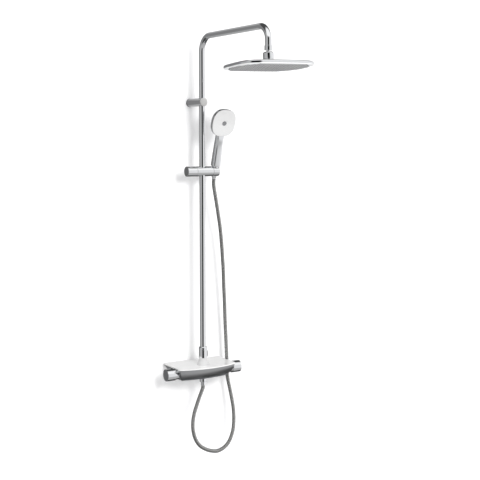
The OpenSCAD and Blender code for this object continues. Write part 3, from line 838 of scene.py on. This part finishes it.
def blend_sections(sections, t):
    """A smooth run through the cover's sections; t goes from 0 to their count less 1."""
    i = min(int(t), len(sections) - 2)
    f = t - i
    before = sections[max(i - 1, 0)]
    after = sections[min(i + 2, len(sections) - 1)]
    out = []
    for a, b, c, d in zip(before, sections[i], sections[i + 1], after):
        bend = (2 * a - 5 * b + 4 * c - d) * f * f + (3 * b - a - 3 * c + d) * f ** 3
        out.append(0.5 * (2 * b + (c - a) * f + bend))
    return out


def build_cover():
    """The bowed apron under the shelf: a thin skin, open at the wall."""
    top = SHELF_Z - SHELF_T - 0.0002
    # Each section: height, half width, start and end of the side off the wall, front.
    sections = (
        (top, 0.1172, 0.0015, 0.1312, 0.1552),
        (0.0070, 0.1155, 0.0280, 0.1280, 0.1510),
        (-0.0060, 0.1115, 0.0600, 0.1200, 0.1415),
        (-0.0160, 0.1040, 0.0730, 0.1125, 0.1290),
        (-0.0222, 0.0960, 0.0800, 0.1065, 0.1185),
    )
    steps = 28
    loops = []
    for i in range(steps + 1):
        z, half, back, side, front = blend_sections(sections, 4 * i / steps)
        loops.append(tray_outline(half, back, side, front, z, corner=0.006))
    loops.append(drawn_in(loops[-1], -0.0012, -0.0228))
    loops.append(drawn_in(loops[-1], -0.0020, -0.0230))
    count = len(loops[0])
    verts = [p for loop in loops for p in loop]
    faces = []
    for i in range(len(loops) - 1):
        for k in range(count - 1):
            a = i * count + k
            faces.append((a, a + count, a + count + 1, a + 1))
    base = (len(loops) - 1) * count
    faces.append(tuple(range(base + count - 1, base - 1, -1)))
    cover = add_piece("mixer_apron", verts, faces, smooth_angle=40.0)
    skin = cover.modifiers.new("skin", "SOLIDIFY")
    skin.thickness = 0.0022
    skin.offset = -1.0
    finish_piece(cover, SOFT_CHROME, "column", "chrome_soft", "mixer_cover")


def hole_through(piece, cutters):
    """Cuts the cutters out of the piece and removes them."""
    for cutter in cutters:
        cut = piece.modifiers.new("cut", "BOOLEAN")
        cut.operation = "DIFFERENCE"
        cut.solver = "EXACT"
        cut.object = cutter
    bpy.context.view_layer.update()
    ready = piece.evaluated_get(bpy.context.evaluated_depsgraph_get())
    mesh = bpy.data.meshes.new_from_object(ready)
    piece.modifiers.clear()
    piece.data = mesh
    mesh.polygons.foreach_set("use_smooth", [True] * len(mesh.polygons))
    mesh.set_sharp_from_angle(angle=math.radians(SMOOTH_ANGLE))
    for cutter in cutters:
        bpy.data.objects.remove(cutter)


def build_knobs():
    length = KNOB_END - KNOB_START
    drum = [
        (0.0075, 0.0), (KNOB_R, 0.0, 0.0006), (KNOB_R, length, 0.0011),
        (KNOB_R - 0.0019, length, 0.0004), (KNOB_R - 0.0019, length - 0.0024), (0.0075, length - 0.0024),
    ]
    cap = [
        (0.0, length - 0.0023), (KNOB_R - 0.0021, length - 0.0023),
        (KNOB_R - 0.0021, length - 0.0001, 0.0005), (0.0, length + 0.0001),
    ]
    for side, word, body in ((-1, "temperature", "temperature_control"), (1, "flow", "flow_control")):
        where = along_x(side * KNOB_START, side=side)
        knob = lathe(word + "_drum", drum, where)
        if side < 0:
            well = lathe("well", [(0.0, 0.0155), (0.00455, 0.0155), (0.00455, 0.03), (0.0, 0.03)],
                         place(BUTTON_X, RISER_Y, 0.0), 48)
            hole_through(knob, [well])
        finish_piece(knob, CHROME, body, "chrome", word + "_knob")
        turned(word + "_end_disc", cap, where, SATIN_GREY, body, "satin_grey", word + "_cap")
    turned(
        "safety_button_moulded",
        [
            (0.0, 0.016), (0.006, 0.016, 0.0002), (0.006, 0.0176), (0.0045, 0.0176),
            (0.0045, KNOB_R + 0.0012, 0.0009), (0.0, KNOB_R + 0.0014),
        ],
        place(BUTTON_X, RISER_Y, 0.0), GREY_PLASTIC, "stop_button", "grey_plastic",
        "safety_button", sides=48,
    )


build_shelf()
build_cover()
build_knobs()


# ---- hose ends ----

def build_hose_ends():
    below = place(0.0, RISER_Y, 0.0)
    turned(
        "hose_lower_nut_polished",
        [
            (0.0055, -0.044), (0.0100, -0.044, 0.0004), (0.0100, -0.0420, 0.0003),
            (0.0130, -0.0420, 0.0010), (0.0130, -0.0290, 0.0010), (0.0100, -0.0290),
            (0.0100, -0.0370), (0.0055, -0.0370),
        ],
        below, CHROME, "column", "chrome", "hose_lower_nut",
    )
    turned(
        "hose_lower_ferrule_polished",
        [(0.0055, -0.056), (0.0082, -0.056, 0.0006), (0.0082, -0.044, 0.0003), (0.0055, -0.044)],
        below, CHROME, "column", "chrome", "hose_lower_ferrule", sides=64,
    )
    handle = place(HOLDER_X, RISER_Y, SLIDER_Z, rx=HANDSET_TILT)
    turned(
        "hose_upper_nut_polished",
        [
            (0.0055, -0.024), (0.0090, -0.024, 0.0005), (0.0112, 0.014, 0.0004),
            (0.0112, 0.021, 0.0006), (0.0096, 0.021), (0.0096, 0.006), (0.0055, 0.006),
        ],
        handle, CHROME, "handset", "chrome", "hose_upper_nut",
    )
    turned(
        "hose_upper_ferrule_polished",
        [(0.0055, -0.029), (0.0080, -0.029, 0.0006), (0.0080, -0.024, 0.0003), (0.0055, -0.024)],
        handle, CHROME, "handset", "chrome", "hose_upper_ferrule", sides=64,
    )


build_hose_ends()


# ---- slider ----

def build_slider():
    length = SLIDER_SEAM + HOLDER_SEAM
    start = along_x(-SLIDER_SEAM, SLIDER_Z)
    middle = place(0.0, RISER_Y, SLIDER_Z)
    body = lathe(
        "slider_body_polished",
        [
            (0.0, 0.0), (SLIDER_R - 0.0006, 0.0), (SLIDER_R - 0.0006, 0.001, 0.0002),
            (SLIDER_R, 0.001, 0.0002), (SLIDER_R, length - 0.001, 0.0002),
            (SLIDER_R - 0.0006, length - 0.001, 0.0002), (SLIDER_R - 0.0006, length),
            (0.0073, length), (0.0073, length - 0.0190), (0.0, length - 0.0190),
        ],
        start,
    )
    bore = lathe("bore", [(0.0, -0.03), (0.013, -0.03), (0.013, 0.03), (0.0, 0.03)], middle, 72)
    hole_through(body, [bore])
    finish_piece(body, CHROME, "slider", "chrome", "slider_body")
    turned(
        "slider_liner_moulded",
        [
            (0.01106, -0.012), (0.01295, -0.012, 0.0003), (0.01295, 0.012, 0.0003),
            (0.01106, 0.012),
        ],
        middle, GREY_PLASTIC, "slider", "grey_plastic", "slider_liner",
    )
    knob_length = SLIDER_HALF - SLIDER_SEAM - 0.0004
    left = along_x(-SLIDER_HALF, SLIDER_Z)
    knob = lathe(
        "slider_knob_polished",
        [
            (0.004, 0.002), (SLIDER_R - 0.0014, 0.002), (SLIDER_R - 0.0014, 0.0, 0.0004),
            (SLIDER_R, 0.0, 0.0010), (SLIDER_R, knob_length, 0.0006), (0.004, knob_length),
        ],
        left,
    )
    grips = []
    for turn in range(150, 211, 15):
        grip = [(0.0, 0.008), (0.0014, 0.0092), (0.0014, 0.0208), (0.0, 0.022)]
        spot = left @ Matrix.Rotation(math.radians(turn), 4, "Z")
        spot = spot @ Matrix.Translation((SLIDER_R + 0.0006, 0.0, 0.0))
        grips.append(lathe("grip", grip, spot, 16))
    hole_through(knob, grips)
    finish_piece(knob, CHROME, "slider_clamp", "chrome", "slider_knob")
    turned(
        "slider_end_disc",
        [(0.0, 0.0), (SLIDER_R - 0.0015, 0.0, 0.0004), (SLIDER_R - 0.0015, 0.002), (0.0, 0.002)],
        left, SATIN_GREY, "slider_clamp", "satin_grey", "slider_knob_cap",
    )


def build_holder():
    start = HOLDER_SEAM + 0.0004
    length = SLIDER_HALF - start
    holder = lathe(
        "holder_polished",
        [
            (0.0, -0.0185), (0.007, -0.0185), (0.007, 0.0), (SLIDER_R, 0.0, 0.0006),
            (SLIDER_R, length, 0.0024), (0.0, length),
        ],
        along_x(start, SLIDER_Z),
    )
    handle = place(HOLDER_X, RISER_Y, SLIDER_Z, rx=HANDSET_TILT)
    cone = lathe(
        "cone",
        [
            (0.0, -0.060), (0.0093, -0.060), (0.0093, -0.024), (0.0115, 0.014),
            (0.0115, 0.060), (0.0, 0.060),
        ],
        handle, 72,
    )
    corners = [(x, y, z) for z in (-0.04, 0.04) for x, y in (
        (0.0, -0.0076), (0.05, -0.0076), (0.05, 0.0076), (0.0, 0.0076),
    )]
    slot_faces = [(3, 2, 1, 0), (4, 5, 6, 7), (0, 1, 5, 4), (1, 2, 6, 5), (2, 3, 7, 6), (3, 0, 4, 7)]
    slot = add_piece("slot", corners, slot_faces, handle)
    hole_through(holder, [cone, slot])
    finish_piece(holder, CHROME, "handset_holder", "chrome", "holder")


build_slider()
build_holder()


# ---- handset ----

HANDLE = place(HOLDER_X, RISER_Y, SLIDER_Z, rx=HANDSET_TILT)
# In the plate's frame +Z is the way that the water leaves.
PLATE = place(*PLATE_CENTRE, rx=PLATE_TILT) @ Matrix.Rotation(math.radians(90.0), 4, "X")


def build_handset():
    a, b = PLATE_HALF
    loops = []
    for inset, z in (
        (0.0010, -0.0020), (0.0003, -0.0023), (0.0, -0.0030), (0.0, -0.0135), (0.0006, -0.0155),
        (0.0022, -0.0175), (0.0050, -0.0198), (0.0090, -0.0218), (0.0140, -0.0233),
        (0.0220, -0.0243), (0.0320, -0.0248),
    ):
        loops.append(soft_outline(a - inset, b - inset, PLATE_POWER, 128, z))
    shell = loft("handset_housing", loops, PLATE, smooth_angle=50.0)
    finish_piece(shell, CHROME, "handset", "chrome", "handset_shell")
    # Sections of the handle: height along it, width, depth and how far it leans forward.
    grip = (
        (0.0210, 0.0320, 0.0270, 0.0), (0.0216, 0.0334, 0.0284, 0.0), (0.0230, 0.0340, 0.0290, 0.0),
        (0.0500, 0.0326, 0.0280, 0.0), (0.0800, 0.0306, 0.0269, 0.0), (0.1000, 0.0294, 0.0260, -0.0004),
        (0.1180, 0.0296, 0.0240, -0.0020), (0.1320, 0.0316, 0.0200, -0.0036),
        (0.1430, 0.0340, 0.0160, -0.0050),
    )
    loops = []
    for i in range(4 * (len(grip) - 1) + 1):
        z, w, d, lean = blend_sections(grip, i / 4)
        ring = soft_outline(w / 2, d / 2, 3.3, 96)
        loops.append([Vector((p.x, p.y + lean, z)) for p in ring])
    handle = loft("handset_handle", loops, HANDLE, smooth_angle=50.0)
    finish_piece(handle, CHROME, "handset", "chrome", "handset_shell")
    build_handset_face()


def ring_places():
    """The three rings of nozzle places on the handset's plate."""
    for ring in (1, 2, 3):
        for k in range(8 * ring):
            turn = 2 * math.pi * k / (8 * ring)
            radius = 0.006 + 0.011 * ring
            yield radius * math.cos(turn), radius * math.sin(turn)


def many(name, corners, spots, where, sides):
    """One mesh of the same turned shape at many places."""
    profile = rounded(corners, 3)
    verts = []
    faces = []
    for x, y in spots:
        low = None
        for r, z in profile:
            if r < 1e-7:
                ring = [len(verts)]
                verts.append((x, y, z))
            else:
                ring = list(range(len(verts), len(verts) + sides))
                for k in range(sides):
                    turn = 2 * math.pi * k / sides
                    verts.append((x + r * math.cos(turn), y + r * math.sin(turn), z))
            if low is not None:
                faces += bridge(low, ring, sides)
            low = ring
    return add_piece(name, verts, faces, where)


def build_handset_face():
    a, b = PLATE_HALF
    loops = []
    for inset, z in (
        (0.0007, -0.0020), (0.0006, -0.0009), (0.0009, -0.0004), (0.0016, 0.0), (0.0030, 0.0002),
        (0.0160, 0.0004), (0.0360, 0.0006),
    ):
        loops.append(soft_outline(a - inset, b - inset, PLATE_POWER, 128, z))
    face = loft("handset_plate", loops, PLATE, smooth_angle=50.0)
    finish_piece(face, WHITE_PLASTIC, "handset", "white_plastic", "handset_face")
    tips = many(
        "handset_spray_tips",
        [
            (0.0015, 0.0002), (0.0014, 0.0006, 0.0002), (0.0009, 0.0007),
            (0.0007, 0.0013, 0.0002), (0.0, 0.0013),
        ],
        list(ring_places()), PLATE, 16,
    )
    finish_piece(tips, PALE_SILICONE, "handset", "silicone_pale", "handset_nozzles")
    turned(
        "handset_centre_cap",
        [
            (0.0, 0.0), (0.0088, 0.0), (0.0088, 0.0008, 0.0003), (0.0078, 0.0014, 0.0003),
            (0.0062, 0.0014, 0.0003), (0.0056, 0.0010, 0.0002), (0.0040, 0.0010), (0.0, 0.0013),
        ],
        PLATE, SATIN_GREY, "handset", "satin_grey", "handset_badge", sides=72,
    )


build_handset()


# ---- rain head ----

HEAD = place(0.0, -ARM_REACH, BALL_Z, rx=HEAD_PITCH, ry=HEAD_ROLL)
HEAD_FACE = HEAD @ Matrix.Translation((0.0, 0.0, -HEAD_DROP))


def build_swivel():
    turned(
        "arm_end_sleeve_polished",
        [
            (0.006, SLEEVE_Z), (0.013, SLEEVE_Z, 0.0008), (0.013, SLEEVE_Z + 0.016, 0.0008),
            (0.0111, SLEEVE_Z + 0.016), (0.0111, SLEEVE_Z + 0.006), (0.006, SLEEVE_Z + 0.006),
        ],
        place(0.0, -ARM_REACH, 0.0), CHROME, "column", "chrome", "arm_end_sleeve",
    )
    turned(
        "swivel_nut_polished",
        [
            (0.0145, -0.012), (0.018, -0.012, 0.0009), (0.018, 0.008, 0.0010),
            (0.015, 0.011, 0.0007), (0.0117, 0.011, 0.0003), (0.0112, 0.009), (0.0145, 0.006),
        ],
        HEAD, CHROME, "rain_head", "chrome", "swivel_nut",
    )


def head_loop(inset, z):
    return soft_outline(HEAD_HALF[0] - inset, HEAD_HALF[1] - inset, HEAD_POWER, 200, z)


def build_head():
    loops = [head_loop(0.0012, 0.0020), head_loop(0.0003, 0.0022), head_loop(0.0, 0.0030)]
    for inset, z in (
        (0.0, 0.0085), (0.0003, 0.0100), (0.0013, 0.0114), (0.0032, 0.0123), (0.0060, 0.0128),
    ):
        loops.append(head_loop(inset, z))
    edge = head_loop(0.0080, 0.0130)
    steps = 14
    for i in range(steps + 1):
        t = i / steps
        ring = []
        for p in edge:
            flat = Vector((p.x, p.y, 0.0))
            near = flat.normalized() * 0.0165
            q = flat.lerp(near, t)
            rise = 0.0130 + 0.0082 * (0.75 * t + 0.25 * t ** 5)
            ring.append(Vector((q.x, q.y, rise)))
        loops.append(ring)
    loops.append([Vector((p.x * 0.88, p.y * 0.88, 0.0214)) for p in loops[-1]])
    shell = loft("rain_head_cover", loops, HEAD_FACE, smooth_angle=40.0)
    finish_piece(shell, CHROME, "rain_head", "chrome", "head_shell")
    loops = []
    for inset, z in (
        (0.0010, 0.0024), (0.0002, 0.0021), (0.0, 0.0016), (0.0002, 0.0008), (0.0008, 0.0002),
        (0.0018, 0.0), (0.0050, 0.0),
    ):
        loops.append(head_loop(inset, z))
    loops.reverse()
    face = loft("rain_head_face", loops, HEAD_FACE, smooth_angle=40.0)
    finish_piece(face, FACE_STEEL, "rain_head", "face_steel", "head_face")
    spots = []
    for i in range(-9, 10):
        for j in range(-6, 7):
            u = abs(i * NOZZLE_PITCH) / (HEAD_HALF[0] - NOZZLE_MARGIN)
            v = abs(j * NOZZLE_PITCH) / (HEAD_HALF[1] - NOZZLE_MARGIN)
            if u ** HEAD_POWER + v ** HEAD_POWER < 1:
                spots.append((i * NOZZLE_PITCH, j * NOZZLE_PITCH))
    nozzles = many(
        "rain_head_nozzles",
        [
            (0.0, -0.0028), (0.0018, -0.0028, 0.0003), (0.0022, -0.0002),
            (0.0025, -0.0001, 0.0001), (0.0025, 0.0002),
        ],
        spots, HEAD_FACE, 14,
    )
    finish_piece(nozzles, SILICONE, "rain_head", "silicone", "head_nozzles")


build_swivel()
build_head()


# ---- stage: wall, floor, lights ----

def stage_material(name, colour, see_through):
    """Matt white; a backdrop is clear when it is seen from behind."""
    material, tree, shader = new_material(name, Roughness=0.9, Specular_IOR_Level=0.1)
    shader.inputs["Base Color"].default_value = (*colour, 1.0)
    if see_through:
        clear = tree.nodes.new("ShaderNodeBsdfTransparent")
        facing = tree.nodes.new("ShaderNodeNewGeometry")
        mix = tree.nodes.new("ShaderNodeMixShader")
        tree.links.new(facing.outputs["Backfacing"], mix.inputs[0])
        tree.links.new(shader.outputs[0], mix.inputs[1])
        tree.links.new(clear.outputs[0], mix.inputs[2])
        tree.links.new(mix.outputs[0], tree.nodes["Material Output"].inputs["Surface"])
    return material


def stage_sheet(name, corners, material):
    sheet = add_piece(name, corners, [(0, 1, 2, 3)])
    sheet.data.materials.append(material)
    sheet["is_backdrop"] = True
    return sheet


wall = stage_sheet(
    "wall",
    [(-6, 0.0008, FLOOR_Z), (6, 0.0008, FLOOR_Z), (6, 0.0008, 4.0), (-6, 0.0008, 4.0)],
    stage_material("wall_white", (0.93, 0.93, 0.93), True),
)
wall.visible_glossy = False
floor = stage_sheet(
    "floor",
    [(-8, -8, FLOOR_Z), (8, -8, FLOOR_Z), (8, 8, FLOOR_Z), (-8, 8, FLOOR_Z)],
    stage_material("floor_pale", (0.86, 0.86, 0.855), False),
)
floor.visible_glossy = False


def soft_light(name, where, aim, size, power):
    data = bpy.data.lights.new(name, "AREA")
    data.shape = "SQUARE"
    data.size = size
    data.energy = power
    light = bpy.data.objects.new(name, data)
    light.location = where
    light.rotation_euler = (Vector(aim) - Vector(where)).to_track_quat("-Z", "Y").to_euler()
    light.visible_glossy = False
    bpy.context.scene.collection.objects.link(light)
    return light


soft_light("key_light", (-0.15, -3.4, 1.7), (0.0, 0.0, 0.55), 1.0, 75.0)


def build_world():
    """A white studio with a dark gap behind the camera, which bright metal mirrors."""
    world = bpy.data.worlds.new("studio")
    bpy.context.scene.world = world
    world.use_nodes = True
    tree = world.node_tree
    background = tree.nodes["Background"]
    coords = tree.nodes.new("ShaderNodeTexCoord")
    split = tree.nodes.new("ShaderNodeSeparateXYZ")
    tree.links.new(coords.outputs["Generated"], split.inputs[0])
    angle = math_node(tree, "ARCTAN2", split.outputs[0], split.outputs[1])
    # 0 is +Y, which is behind the wall; the room's middle is at 0.5 and the ramp runs by -X.
    turn = math_node(tree, "DIVIDE", angle, -2 * math.pi)
    turn = math_node(tree, "FRACT", math_node(tree, "ADD", turn, 1.0))
    around = tree.nodes.new("ShaderNodeValToRGB")
    tree.links.new(turn, around.inputs[0])
    ramp = around.color_ramp
    ramp.elements[0].color = (0.22, 0.22, 0.222, 1.0)
    ramp.elements[1].color = (0.30, 0.30, 0.303, 1.0)
    for position, level in (
        (0.14, 0.24), (0.18, 0.42), (0.30, 0.48), (0.355, 0.50), (0.375, 0.015),
        (0.495, 0.015), (0.515, 0.80), (0.72, 0.92), (0.90, 0.70),
    ):
        stop = ramp.elements.new(position)
        stop.color = (level, level, level * 1.01, 1.0)
    height = math_node(tree, "ABSOLUTE", split.outputs[2])
    band = smooth_map(tree, height, 0.52, 0.34)
    front_up = mix_colour(tree, smooth_map(tree, split.outputs[2], -0.3, 0.4), (0.48,) * 3, (1.05,) * 3)
    behind = smooth_map(tree, split.outputs[1], -0.30, 0.10)
    far = mix_colour(tree, smooth_map(tree, split.outputs[1], 0.62, 0.84), (0.07,) * 3, (0.45,) * 3)
    beyond = mix_colour(tree, behind, front_up, far)
    final = mix_colour(tree, band, beyond, around.outputs[0])
    rays = tree.nodes.new("ShaderNodeLightPath")
    plain = mix_colour(tree, rays.outputs["Is Glossy Ray"], (0.92, 0.92, 0.93), final)
    tree.links.new(plain, background.inputs["Color"])
    background.inputs["Strength"].default_value = 1.0


build_world()
bpy.context.scene.view_settings.view_transform = "Standard"

boxes = {"cad": cad_box, "visual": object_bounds()}
boxes = {name: [[float(v) for v in corner] for corner in box] for name, box in boxes.items()}
